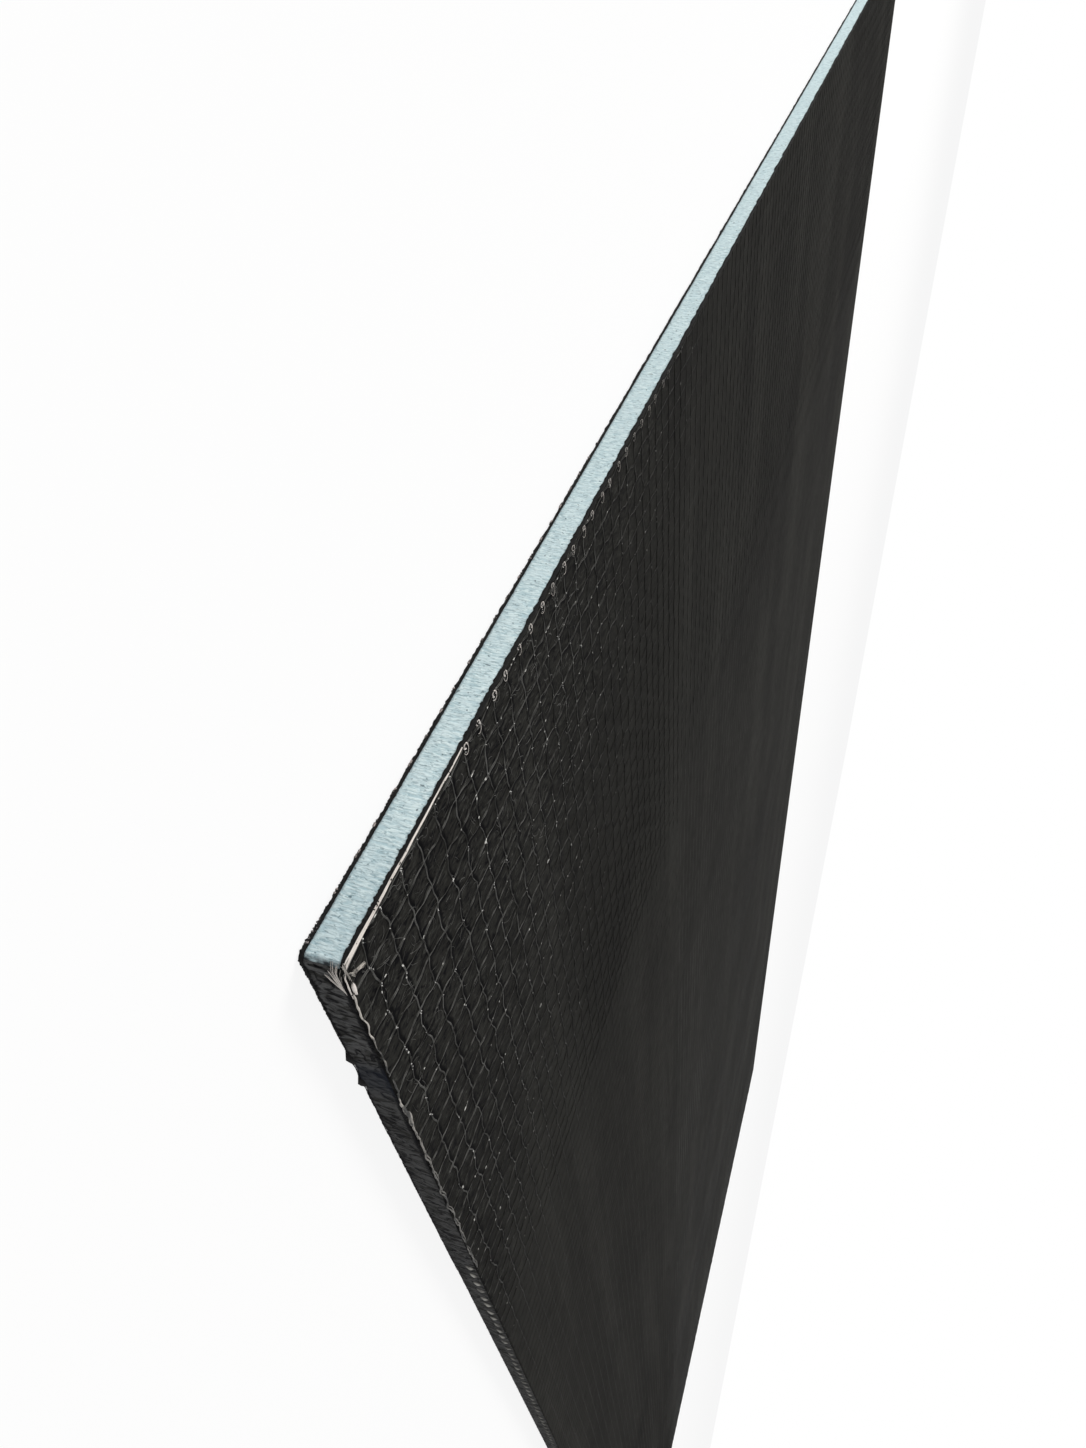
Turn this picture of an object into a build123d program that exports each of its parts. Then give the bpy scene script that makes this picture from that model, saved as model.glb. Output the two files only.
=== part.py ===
# Insulation board: a thin slab of extruded foam between two mortar coats, with an open
# glass-fibre mesh showing as ridges on both faces. The long edges are wrapped by the back
# coat and the short ends are sawn through, so the foam is bare there.
#
# Frame, in millimetres: the origin is under the middle of the board, on the plane it lies on.
# +X runs along the board, +Y across it, and +Z out of the front face.
import os
from math import sqrt

from build123d import *

# Board
board_length = 1250.0
board_width = 600.0
corner_radius = 2.4  # upright corners, rounded by handling

# Foam and mortar
foam_thickness = 4.5
coat_thickness = 0.45
edge_coat_thickness = 0.6  # the back coat where it is turned up over a long edge
foam_arris_radius = 0.4  # long back arrises of the foam, which the coat is folded round
front_arris_radius = 0.3  # long front arrises of the front coat

# Glass-fibre mesh, the same on both faces
mesh_pitch = 5.0
yarn_height = 0.14
yarn_width = 0.8  # where a yarn lies on what is under it
yarn_side_angle = 45.0
yarn_clearance = 0.02  # between a lengthwise yarn and the crosswise ones that it passes over
long_yarn_inset = 4.6  # middle of the first lengthwise yarn to the long edge
cross_yarn_inset = 1.2  # middle of the first crosswise yarn to the sawn end

# Crosswise yarn that the saw has bared and left loose along the cut, at one corner
bared_yarn_length = 33.0
bared_yarn_root_width = 0.65
bared_yarn_tip_width = 0.15
bared_yarn_setback = 0.05  # from the sawn end

# Levels, from the plane that the back mesh lies on to the crown of the front mesh
mesh_height = 2 * yarn_height + yarn_clearance
foam_level = mesh_height + coat_thickness
front_coat_level = foam_level + foam_thickness
front_mesh_level = front_coat_level + coat_thickness
board_thickness = front_mesh_level + mesh_height


def corner_cut(distance):
    """How far a rounded corner cuts in, at a distance from the edge beside it."""
    within = max(corner_radius - distance, 0)
    return corner_radius - sqrt(corner_radius**2 - within**2)


# The weave: how many yarns run each way, the middle of each run of them, and their length
long_yarn_count = int((board_width - 2 * long_yarn_inset) / mesh_pitch) + 1
long_yarns_middle = long_yarn_inset - board_width / 2 + (long_yarn_count - 1) * mesh_pitch / 2
cross_yarn_count = int((board_length - 2 * cross_yarn_inset) / mesh_pitch) + 1
cross_yarns_span = (cross_yarn_count - 1) * mesh_pitch
cross_yarns_middle = cross_yarn_inset - board_length / 2 + cross_yarns_span / 2
cross_yarn_cut = max(corner_cut(cross_yarn_inset - yarn_width / 2), front_arris_radius)
cross_yarn_length = board_width - 2 * cross_yarn_cut
long_yarn_length = cross_yarns_span - yarn_width - 2 * yarn_clearance

os.makedirs("parts", exist_ok=True)


def keep_inside_corners():
    """Cut what the current part has outside the board's rounded outline."""
    with BuildSketch(Plane.XY) as outline:
        RectangleRounded(board_length, board_width, corner_radius)
    extrude(outline.sketch, amount=board_thickness, mode=Mode.INTERSECT)


def yarn_sections(count, spacing, height, crown_down):
    """Draw yarns side by side, each with its broad side on the current place."""
    with GridLocations(spacing, spacing, count, 1):
        Trapezoid(
            yarn_width,
            height,
            yarn_side_angle,
            rotation=180 if crown_down else 0,
            align=(Align.CENTER, Align.MIN),
        )


def bed_cross_yarns(level, crown_down):
    """Add the ridges of a mesh's crosswise yarns to a coat; the outer two reach the crowns."""
    with BuildSketch(Plane.XZ.offset(-cross_yarn_length / 2)) as sections:
        with Locations((cross_yarns_middle, level)):
            yarn_sections(cross_yarn_count - 2, mesh_pitch, yarn_height, crown_down)
            yarn_sections(2, cross_yarns_span, mesh_height, crown_down)
    extrude(sections.sketch, amount=cross_yarn_length)


def lay_long_yarns(level, crown_down):
    """Add a mesh's lengthwise yarns, which run from its first crosswise yarn to its last."""
    first_end = cross_yarns_middle - long_yarn_length / 2
    with BuildSketch(Plane.YZ.offset(first_end)) as sections:
        with Locations((long_yarns_middle, level)):
            yarn_sections(long_yarn_count, mesh_pitch, yarn_height, crown_down)
    extrude(sections.sketch, amount=long_yarn_length)


# Foam core, sawn at both ends and rounded along its two back arrises
with BuildPart() as foam_core:
    with BuildSketch(Plane.YZ) as foam_section:
        with Locations((0, foam_level + foam_thickness / 2)):
            Rectangle(board_width - 2 * edge_coat_thickness, foam_thickness)
        fillet(foam_section.vertices().group_by(Axis.Y)[0], foam_arris_radius)
    extrude(amount=board_length / 2, both=True)
    keep_inside_corners()
foam_core.part.label = "foam_core"
export_step(foam_core.part, "parts/foam_core.step")

# Back coat: one skin of mortar over the back, folded up over both long edges to the front
# coat, with a ridge over each crosswise yarn that is bedded in it
with BuildPart() as back_coat:
    with BuildSketch(Plane.YZ) as wrap_section:
        with Locations((0, (mesh_height + front_coat_level) / 2)):
            Rectangle(board_width, front_coat_level - mesh_height)
        fillet(wrap_section.vertices().group_by(Axis.Y)[0], foam_arris_radius + coat_thickness)
        add(foam_section.sketch_local, mode=Mode.SUBTRACT)
    extrude(amount=board_length / 2, both=True)
    keep_inside_corners()
    bed_cross_yarns(mesh_height, crown_down=True)
back_coat.part.label = "back_coat"
export_step(back_coat.part, "parts/back_coat.step")

# Front coat: a flat skin of mortar that meets the wrapped edges just under the front arrises,
# with the same ridges
with BuildPart() as front_coat:
    with BuildSketch(Plane.YZ) as front_section:
        with Locations((0, front_coat_level + coat_thickness / 2)):
            Rectangle(board_width, coat_thickness)
        fillet(front_section.vertices().group_by(Axis.Y)[-1], front_arris_radius)
    extrude(amount=board_length / 2, both=True)
    keep_inside_corners()
    bed_cross_yarns(front_mesh_level, crown_down=False)
front_coat.part.label = "front_coat"
export_step(front_coat.part, "parts/front_coat.step")

# Lengthwise yarns of both meshes, over the crosswise ones. The board lies on those of the back.
long_yarn_lift = yarn_height + yarn_clearance

with BuildPart() as back_long_yarns:
    lay_long_yarns(mesh_height - long_yarn_lift, crown_down=True)
back_long_yarns.part.label = "back_long_yarns"
export_step(back_long_yarns.part, "parts/back_long_yarns.step")

with BuildPart() as front_long_yarns:
    lay_long_yarns(front_mesh_level + long_yarn_lift, crown_down=False)
front_long_yarns.part.label = "front_long_yarns"
export_step(front_long_yarns.part, "parts/front_long_yarns.step")

# Bared yarn: a loose bundle of glass fibre along the sawn edge of the front coat, thinning out
with BuildPart() as bared_end_yarn:
    bared_start_x = bared_yarn_setback - board_length / 2
    bared_start_y = corner_radius - board_width / 2
    with BuildSketch(Plane.XY.offset(front_mesh_level)):
        with BuildLine():
            Polyline(
                (bared_start_x, bared_start_y),
                (bared_start_x + bared_yarn_root_width, bared_start_y),
                (bared_start_x + bared_yarn_tip_width, bared_start_y + bared_yarn_length),
                (bared_start_x, bared_start_y + bared_yarn_length),
                close=True,
            )
        make_face()
    extrude(amount=yarn_height)
bared_end_yarn.part.label = "bared_end_yarn"
export_step(bared_end_yarn.part, "parts/bared_end_yarn.step")
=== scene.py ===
import math
import random

import bpy
from mathutils import Matrix, Vector, noise


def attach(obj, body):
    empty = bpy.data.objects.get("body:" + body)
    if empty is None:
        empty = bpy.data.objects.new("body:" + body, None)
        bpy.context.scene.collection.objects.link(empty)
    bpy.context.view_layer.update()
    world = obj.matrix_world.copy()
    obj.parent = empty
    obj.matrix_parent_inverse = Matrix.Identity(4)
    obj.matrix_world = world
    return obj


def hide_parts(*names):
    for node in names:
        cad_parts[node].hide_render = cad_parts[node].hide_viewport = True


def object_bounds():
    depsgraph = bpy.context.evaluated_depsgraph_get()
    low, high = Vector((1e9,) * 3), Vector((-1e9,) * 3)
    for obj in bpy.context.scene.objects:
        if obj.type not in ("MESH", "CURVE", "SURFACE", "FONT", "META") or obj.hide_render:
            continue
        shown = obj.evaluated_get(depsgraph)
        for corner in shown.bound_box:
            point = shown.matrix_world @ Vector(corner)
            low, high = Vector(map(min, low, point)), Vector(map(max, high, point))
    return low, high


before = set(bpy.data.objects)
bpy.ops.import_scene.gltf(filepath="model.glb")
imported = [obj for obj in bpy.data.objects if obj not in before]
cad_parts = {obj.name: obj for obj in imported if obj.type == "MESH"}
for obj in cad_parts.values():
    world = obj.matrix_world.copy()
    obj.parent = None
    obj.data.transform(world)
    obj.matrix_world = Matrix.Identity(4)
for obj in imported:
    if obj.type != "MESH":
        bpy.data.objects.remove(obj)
cad_low, cad_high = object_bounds()

# Camera. It stands a hand's breadth off one corner of the board, low over the front face, and is
# turned on its side, so the board runs up the picture and away to the right.
mm = 0.001


def add_object(name, data):
    """A new object in the scene, from its data."""
    thing = bpy.data.objects.new(name, data)
    bpy.context.scene.collection.objects.link(thing)
    return thing


near_corner = Vector((cad_low.x, cad_low.y, 0))
camera_place = near_corner + Vector((-91.6, -41.7, 52.9)) * mm
camera_aim = near_corner + Vector((20.7, 59.0, 6.0)) * mm
camera_roll = math.radians(100.8)
camera_data = bpy.data.cameras.new("camera")
camera_data.lens = 24.54
camera_data.clip_start = 5 * mm
camera = add_object("camera", camera_data)
camera.location = camera_place
level_view = (camera_aim - camera_place).to_track_quat("-Z", "Y")
camera.rotation_mode = "QUATERNION"
camera.rotation_quaternion = level_view @ Matrix.Rotation(camera_roll, 3, "Z").to_quaternion()
bpy.context.scene.camera = camera


# Studio. The board lies on a white table that runs on into a white background, under a wide soft
# lamp beside the sawn end and a weaker one on the other side. The table keeps a faint shadow.
class Socket:
    """An output of a node, which can be used in sums."""

    def __init__(self, nodes, socket):
        self.nodes = nodes
        self.socket = socket

    def math(self, operation, *values):
        return self.nodes.add("ShaderNodeMath", {"operation": operation}, dict(enumerate(values)))

    def __add__(self, other):
        return self.math("ADD", self, other)

    def __radd__(self, other):
        return self.math("ADD", other, self)

    def __sub__(self, other):
        return self.math("SUBTRACT", self, other)

    def __rsub__(self, other):
        return self.math("SUBTRACT", other, self)

    def __mul__(self, other):
        return self.math("MULTIPLY", self, other)

    def __rmul__(self, other):
        return self.math("MULTIPLY", other, self)

    def __truediv__(self, other):
        return self.math("DIVIDE", self, other)

    def __rtruediv__(self, other):
        return self.math("DIVIDE", other, self)

    def __pow__(self, other):
        return self.math("POWER", self, other)

    def __rpow__(self, other):
        return self.math("POWER", other, self)

    def at_least(self, other):
        return self.math("MAXIMUM", self, other)

    def at_most(self, other):
        return self.math("MINIMUM", self, other)

    def sine(self):
        return self.math("SINE", self)

    def cosine(self):
        return self.math("COSINE", self)


class Nodes:
    """A node tree of a material or a shape, and the one way in which its nodes are made."""

    def __init__(self, tree):
        self.tree = tree

    def add(self, kind, settings=None, inputs=None, output=0):
        """A node with its settings and inputs, given back as one of its outputs."""
        node = self.tree.nodes.new(kind)
        for name, value in (settings or {}).items():
            setattr(node, name, value)
        for name, value in (inputs or {}).items():
            if isinstance(value, Socket):
                self.tree.links.new(value.socket, node.inputs[name])
            else:
                node.inputs[name].default_value = value
        return Socket(self, node.outputs[output] if len(node.outputs) else None)

    def ramp(self, value, low, high, start=0.0, end=1.0):
        """A smooth step of value from low to high, worth start before it and end after it."""
        inputs = {"Value": value, "From Min": low, "From Max": high, "To Min": start, "To Max": end}
        return self.add("ShaderNodeMapRange", {"interpolation_type": "SMOOTHSTEP"}, inputs)

    def mix(self, factor, first, second):
        """A colour between two colours."""
        return self.add("ShaderNodeMix", {"data_type": "RGBA"}, {0: factor, 6: first, 7: second}, 2)

    def vector(self, operation, inputs):
        return self.add("ShaderNodeVectorMath", {"operation": operation}, inputs)

    def grain(self, place, scale, detail=2.0, roughness=0.5, distortion=0.0):
        """Noise from 0 to 1 over a place, with a scale for each axis."""
        inputs = {"Vector": self.vector("MULTIPLY", {0: place, 1: scale}), "Scale": 1.0,
                  "Detail": detail, "Roughness": roughness, "Distortion": distortion}
        return self.add("ShaderNodeTexNoise", {}, inputs)

    def bump(self, height, strength, distance):
        """A fine relief of the surface."""
        inputs = {"Height": height, "Strength": strength, "Distance": distance}
        return self.add("ShaderNodeBump", {}, inputs)


def new_material(name):
    """A material without nodes yet, and the way to add them."""
    material = bpy.data.materials.new(name)
    material.use_nodes = True
    material.node_tree.nodes.clear()
    return material, Nodes(material.node_tree)


def new_piece(name, points, faces, material, slot=None):
    """A mesh piece at the origin, in metres, from points in millimetres."""
    mesh = bpy.data.meshes.new(name)
    mesh.from_pydata([Vector(point) * mm for point in points], [], faces)
    mesh.materials.append(material)
    mesh.update()
    piece = add_object(name, mesh)
    if slot:
        mesh.shade_smooth()
        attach(piece, "root")
    return piece


def seen_directly(nodes):
    """One for rays from the camera, off something shiny or through something clear."""
    mask = nodes.add("ShaderNodeLightPath", output="Is Camera Ray")
    for kind in ("Is Glossy Ray", "Is Transmission Ray"):
        mask = mask.at_least(nodes.add("ShaderNodeLightPath", output=kind))
    return mask


table_half = 9000.0
white, nodes = new_material("white_table")
lit = nodes.add("ShaderNodeBsdfDiffuse", {}, {"Color": (0.8, 0.8, 0.8, 1)})
glow = nodes.add("ShaderNodeEmission", {}, {"Color": (1, 1, 1, 1), "Strength": 1.0})
seen = nodes.add("ShaderNodeMixShader", {}, {0: 0.13, 1: glow, 2: lit})
surface = nodes.add("ShaderNodeMixShader", {}, {0: seen_directly(nodes), 1: lit, 2: seen})
nodes.add("ShaderNodeOutputMaterial", {}, {"Surface": surface})
table_corners = [(x * table_half, y * table_half, 0) for x, y in ((-1, -1), (1, -1), (1, 1), (-1, 1))]
table = new_piece("table", table_corners, [(0, 1, 2, 3)], white)

world = bpy.data.worlds.new("white_room")
bpy.context.scene.world = world
world.use_nodes = True
world.node_tree.nodes.clear()
nodes = Nodes(world.node_tree)
room = nodes.add("ShaderNodeBackground", {}, {"Color": (0.97, 0.98, 1, 1), "Strength": 0.5})
backdrop = nodes.add("ShaderNodeBackground", {}, {"Color": (1, 1, 1, 1), "Strength": 1.0})
around = nodes.add("ShaderNodeMixShader", {}, {0: seen_directly(nodes), 1: room, 2: backdrop})
nodes.add("ShaderNodeOutputWorld", {}, {"Surface": around})
bpy.context.scene.view_settings.view_transform = "Standard"


def hang_lamp(name, offset, width, power, colour):
    """A square lamp at an offset from the near corner, turned to it."""
    lamp_data = bpy.data.lights.new(name, "AREA")
    lamp_data.shape = "RECTANGLE"
    lamp_data.size = width
    lamp_data.size_y = width
    lamp_data.energy = power
    lamp_data.color = colour
    lamp = add_object(name, lamp_data)
    lamp.location = near_corner + Vector(offset)
    lamp.rotation_euler = (near_corner - lamp.location).to_track_quat("-Z", "Y").to_euler()


hang_lamp("key_lamp", (-1.0, 1.5, 1.5), 0.9, 46, (1, 0.98, 0.95))
hang_lamp("fill_lamp", (1.5, -1.5, 2.0), 2.0, 12, (1, 1, 1))


# Foam core. One slab of pale blue extruded polystyrene. Its short ends are sawn, which leaves fine
# upright scratches, torn cells and small pits; the long sides are hidden under the wrapped coat.
half_length = cad_high.x / mm
half_width = cad_high.y / mm
corner_radius = 2.4
foam_low = 0.75
foam_high = 5.25
sawn_setback = 0.3
wrap_thickness = 0.6
foam_rows = 36


def graded(length, first, growth):
    """Distances from 0 to length, first apart at the start, each step longer by the growth."""
    count = max(2, round(math.log(1 + length * growth / first) / growth))
    rate = growth * count
    return [length * math.expm1(rate * i / count) / math.expm1(rate) for i in range(count + 1)]


def sawn_x(y):
    """X of the sawn end, which is rounded near the long edges, at a distance y from the middle."""
    reach = max(0.0, abs(y) - (half_width - corner_radius))
    rounding = corner_radius - math.sqrt(max(0.0, corner_radius ** 2 - reach ** 2))
    return -half_length + max(sawn_setback, rounding)


def uneven(x, y, z):
    """Smooth noise between about -1 and 1."""
    return noise.noise(Vector((x, y, z)))


def saw_relief(y, z, end):
    """Depth of the sawn foam surface below its plane."""
    scratch = uneven(y * 5.0, z * 0.45, end)
    tear = uneven(y * 2.2, z * 1.4, end + 7)
    pit = uneven(y * 1.1, z * 1.3, end + 31)
    return 0.03 + 0.03 * scratch + 0.03 * tear + 0.35 * max(0.0, pit - 0.52)


foam_half_width = half_width - wrap_thickness
edge_steps = graded(2 * foam_half_width, 0.11, 0.0095)
near_end = [(sawn_x(y), y) for y in (step - foam_half_width for step in edge_steps)]
far_count = 260
far_end = []
for i in range(far_count + 1):
    y = -foam_half_width + 2 * foam_half_width * i / far_count
    far_end.append((-sawn_x(y), y))
ring = far_end + near_end[::-1]
foam_points = []
for row in range(foam_rows + 1):
    z = foam_low + (foam_high - foam_low) * row / foam_rows
    for x, y in ring:
        end = 3 if x < 0 else 90
        foam_points.append((x - math.copysign(saw_relief(y, z, end), x), y, z))
count = len(ring)
foam_faces = []
for row in range(foam_rows):
    for i in range(count):
        j = (i + 1) % count
        low = row * count
        foam_faces.append((low + i, low + j, low + j + count, low + i + count))
foam_faces.append(tuple(range(count))[::-1])
foam_faces.append(tuple(foam_rows * count + i for i in range(count)))


def distance_in(nodes, place, axis):
    """Distance in mm from the sawn end (X), from the wrapped edge (Y) or from the table (Z)."""
    low = {"X": cad_low.x, "Y": cad_low.y, "Z": 0.0}[axis]
    return (nodes.add("ShaderNodeSeparateXYZ", {}, {0: place}, axis) - low) / mm


def finish_surface(nodes, tone, roughness, shine, relief=None):
    """Ends a material in one surface, with its relief if it has one."""
    inputs = {"Base Color": tone, "Roughness": roughness, "Specular IOR Level": shine}
    if relief:
        inputs["Normal"] = relief
    surface = nodes.add("ShaderNodeBsdfPrincipled", {}, inputs)
    nodes.add("ShaderNodeOutputMaterial", {}, {"Surface": surface})


foam_finish, nodes = new_material("sawn_foam")
place = nodes.add("ShaderNodeTexCoord", output="Object")
height = distance_in(nodes, place, "Z")
from_edge = distance_in(nodes, place, "Y")
scratches = nodes.ramp(nodes.grain(place, (1500, 2500, 560), 3.0, 0.6, 0.5), 0.39, 0.61)
cells = nodes.ramp(nodes.grain(place, (900, 1700, 1100), 2.0), 0.36, 0.64)
cloud = nodes.ramp(nodes.grain(place, (300, 300, 420), 3.0, 0.6), 0.35, 0.65)
dashes = nodes.ramp(nodes.grain(place, (900, 3700, 1050), 1.5, 0.5, 0.7), 0.57, 0.66)
pits = nodes.ramp(nodes.grain(place, (700, 1700, 1500), 0.0), 0.76, 0.82)
rim = nodes.ramp(height, foam_low, 1.20, 1.0, 0.0) + nodes.ramp(height, 4.95, foam_high)
tone = nodes.mix(scratches, (0.40, 0.54, 0.58, 1), (0.66, 0.775, 0.785, 1))
tone = nodes.mix(cloud * 0.55, tone, (0.54, 0.66, 0.69, 1))
tone = nodes.mix(cells * 0.25, tone, (0.68, 0.79, 0.80, 1))
tone = nodes.mix(dashes * 0.55, tone, (0.17, 0.26, 0.30, 1))
tone = nodes.mix(pits * 0.8, tone, (0.10, 0.15, 0.17, 1))
tone = nodes.mix(rim * (0.15 + 0.85 * scratches) * 0.75, tone, (0.13, 0.17, 0.18, 1))
# Painted shade: the sawn foam is painted darker towards the wrapped edge, for the shade at the rounded
# corner.
tone = nodes.mix(nodes.ramp(from_edge, 2, 26, 0.22, 0.0), tone, (0.17, 0.25, 0.29, 1))
smear = nodes.grain(place, (1500, 1500, 700), 3.0, 0.6)
smeared = nodes.ramp(from_edge + (smear - 0.5) * 1.6, 1.25, 0.55)
tone = nodes.mix(smeared, tone, (0.020, 0.026, 0.030, 1))
relief = nodes.bump(scratches + cells * 0.6 - dashes - pits, 0.5, 0.12 * mm)
finish_surface(nodes, tone, 0.85, 0.25, relief)
foam = new_piece("foam_core_sawn", foam_points, foam_faces, foam_finish, "foam")
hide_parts("foam_core")


# Back coat. Black polymer mortar trowelled over the back and turned up over both long edges while
# wet, which leaves it wrinkled across the edge. It is sawn off flush at the short ends.
coat_low = 0.30
side_setback = 0.25
back_arris_radius = 0.5
outer_y = half_width - side_setback


def edge_relief(x, z):
    """Depth of the wrinkled long edge below its plane."""
    bend = 1.6 * uneven(x * 0.25, z * 0.4, 21)
    wrinkle = uneven(x * 0.9 + bend, z * 0.30, 11)
    lump = uneven(x * 0.30, z * 0.5, 5)
    crumb = uneven(x * 2.6 + bend, z * 1.5, 8)
    x_in = x + half_length
    tear_dent_and_painted_shade = max(0.0, 1 - ((x_in - 27.8) / 1.6) ** 2, 1 - ((x_in - 33.6) / 1.3) ** 2)
    tear_dent_and_painted_shade *= 0.45 if z < foam_low else max(0.0, 0.12 * (1.6 - z))
    return 0.11 + 0.08 * wrinkle + 0.05 * lump + 0.03 * crumb + tear_dent_and_painted_shade


def coat_section():
    """Outer and inner points (y, z, outward y, outward z) round the coat, from edge to edge."""
    outer = []
    inner = []
    side_rows = 24
    arc_rows = 5
    arc_top = coat_low + back_arris_radius
    for row in range(side_rows):
        z = foam_high + (arc_top - foam_high) * row / side_rows
        outer.append((-outer_y, z, -1.0, 0.0))
        inner.append((-foam_half_width, z))
    for row in range(arc_rows + 1):
        turn = 0.5 * math.pi * row / arc_rows
        y = -outer_y + back_arris_radius * (1 - math.cos(turn))
        z = arc_top - back_arris_radius * math.sin(turn)
        outer.append((y, z, -math.cos(turn), -math.sin(turn)))
        inner.append((-foam_half_width + 0.12 * row, foam_low))
    back_rows = 30
    flat_reach = outer_y - back_arris_radius
    for row in range(1, back_rows):
        y = flat_reach * (2 * row / back_rows - 1)
        outer.append((y, coat_low, 0.0, -1.0))
        inner.append((y, foam_low))
    far_outer = [(-y, z, -out_y, out_z) for y, z, out_y, out_z in outer[:side_rows + arc_rows + 1][::-1]]
    far_inner = [(-y, z) for y, z in inner[:side_rows + arc_rows + 1][::-1]]
    return outer + far_outer, inner + far_inner


outer_section, inner_section = coat_section()
along_steps = graded(1.0, 0.2 / (2 * half_length), 0.012)
columns = len(along_steps)
coat_points = []
for y, z, out_y, out_z in outer_section:
    start = sawn_x(y)
    for step in along_steps:
        x = start - 2 * start * step
        depth = edge_relief(x if y < 0 else x + 400, z) * abs(out_y)
        coat_points.append((x, y - depth * out_y, z - depth * out_z))
rows = len(outer_section)
inner_first = len(coat_points)
for y, z in inner_section:
    start = sawn_x(y)
    coat_points.append((start, y, z))
    coat_points.append((-start, y, z))
coat_faces = []
for row in range(rows - 1):
    low = row * columns
    high = low + columns
    for i in range(columns - 1):
        coat_faces.append((low + i, high + i, high + i + 1, low + i + 1))
    inner_low = inner_first + 2 * row
    coat_faces.append((inner_low, inner_low + 1, inner_low + 3, inner_low + 2))
    coat_faces.append((low, inner_low, inner_low + 2, high))
    coat_faces.append((low + columns - 1, high + columns - 1, inner_low + 3, inner_low + 1))
inner_last = inner_first + 2 * (rows - 1)
coat_faces.append(tuple(range(columns)) + (inner_first + 1, inner_first))
last_row = range((rows - 1) * columns, rows * columns)
coat_faces.append(tuple(last_row)[::-1] + (inner_last, inner_last + 1))


def mortar_material(name):
    """A material that starts as dry black mortar, with clouds, trowel streaks, patches and grit."""
    material, nodes = new_material(name)
    place = nodes.add("ShaderNodeTexCoord", output="Object")
    cloud = nodes.grain(place, (60, 60, 60), 4.0, 0.6)
    blotch = nodes.grain(place, (220, 220, 220), 3.0, 0.6)
    grit = nodes.grain(place, (2600, 2600, 2600), 3.0, 0.7)
    trowelled = nodes.grain(place, (2.5, 34, 34), 4.0, 0.6, 0.3)
    patches = nodes.grain(place, (5, 8, 8), 4.0, 0.65)
    tone = nodes.mix(cloud, (0.0125, 0.0121, 0.0108, 1), (0.0195, 0.0190, 0.0168, 1))
    tone = nodes.mix(nodes.ramp(trowelled, 0.42, 0.64) * 0.60, tone, (0.0290, 0.0284, 0.0254, 1))
    tone = nodes.mix(nodes.ramp(patches, 0.46, 0.66) * 0.50, tone, (0.0075, 0.0071, 0.0066, 1))
    tone = nodes.mix(blotch * 0.5, tone, (0.0085, 0.0086, 0.0090, 1))
    tone = nodes.mix(nodes.ramp(grit, 0.62, 0.80) * 0.30, tone, (0.060, 0.058, 0.052, 1))
    return material, nodes, place, tone, blotch, grit


edge_finish, nodes, place, tone, blotch, grit = mortar_material("wrapped_mortar")
from_end = distance_in(nodes, place, "X")
height = distance_in(nodes, place, "Z")
folds = nodes.grain(place, (260, 260, 150), 2.0, 0.5, 0.6)
folded = nodes.ramp((folds * 42.0).sine(), 0.35, 0.95)
creases = nodes.grain(place, (900, 900, 420), 4.0, 0.65, 0.6)
dusty = nodes.mix(nodes.ramp(from_end, 12, 45), (0.096, 0.096, 0.096, 1), (0.066, 0.066, 0.066, 1))
tone = nodes.mix(nodes.ramp(creases, 0.38, 0.60) * 0.9, tone, dusty)
# Painted shade: the valleys of the folds, where the bump relief sinks, are painted near black.
tone = nodes.mix(folded * nodes.ramp(creases, 0.66, 0.46) * 0.95, tone, (0.003, 0.003, 0.004, 1))
level = height + (creases - 0.5) * 1.2
# Painted shade: the low band of the wrapped edge, where it turns under towards the table, is painted near
# black, most within 60 mm of the sawn end, and the shadow mask paints shade in a band below the front
# arris.
tear_dent_and_painted_shade = nodes.ramp(level, 0.65, 1.15, 1.0, 0.0) * nodes.ramp(from_end, 60, 130, 1.0, 0.3)
shadow = nodes.ramp(level, 4.55, 4.95) * nodes.ramp(from_end, 50, 75, 1.0, 0.0)
tone = nodes.mix(tear_dent_and_painted_shade.at_least(shadow) * 0.95, tone, (0.002, 0.002, 0.003, 1))
wet = nodes.ramp(from_end, 23.0, 27.0) * nodes.ramp(from_end, 30.0, 36.0, 1.0, 0.0)
tone = nodes.mix(wet * (0.30 + 0.5 * blotch), tone, (0.008, 0.011, 0.019, 1))
relief = nodes.bump(creases + 0.25 * grit - folded, 0.8, 0.3 * mm)
finish_surface(nodes, tone, 0.62 + 0.25 * blotch, 0.03, relief)
back_coat = new_piece("back_coat_wrapped", coat_points, coat_faces, edge_finish, "mortar")
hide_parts("back_coat")


# Front coat. A flat skin of the same mortar, less than half a millimetre thick. It sinks a little
# between the yarns and climbs their sides, and its arrises are worn round.
front_level = 5.64
arris_radius = 0.3
mesh_pitch = 5.0
long_yarn_inset = 4.6
cross_yarn_inset = 1.2


def wander(along, line, cosine):
    """Sideways shift in mm of a yarn, along it, for its number: bent at each crossing, and uneven."""
    bend = 0.24 * cosine(along * (math.pi / mesh_pitch) + line * math.pi)
    drift = 0.20 * cosine(along * 0.47 + line * 2.4)
    return bend + drift + 0.12 * cosine(along * 1.73 + line * 4.1)


def yarn_distance(across, along, inset):
    """Distance from the nearest of the parallel yarns."""
    line = round((across - inset) / mesh_pitch)
    return abs(across - inset - mesh_pitch * line - wander(along, line, math.cos))


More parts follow.
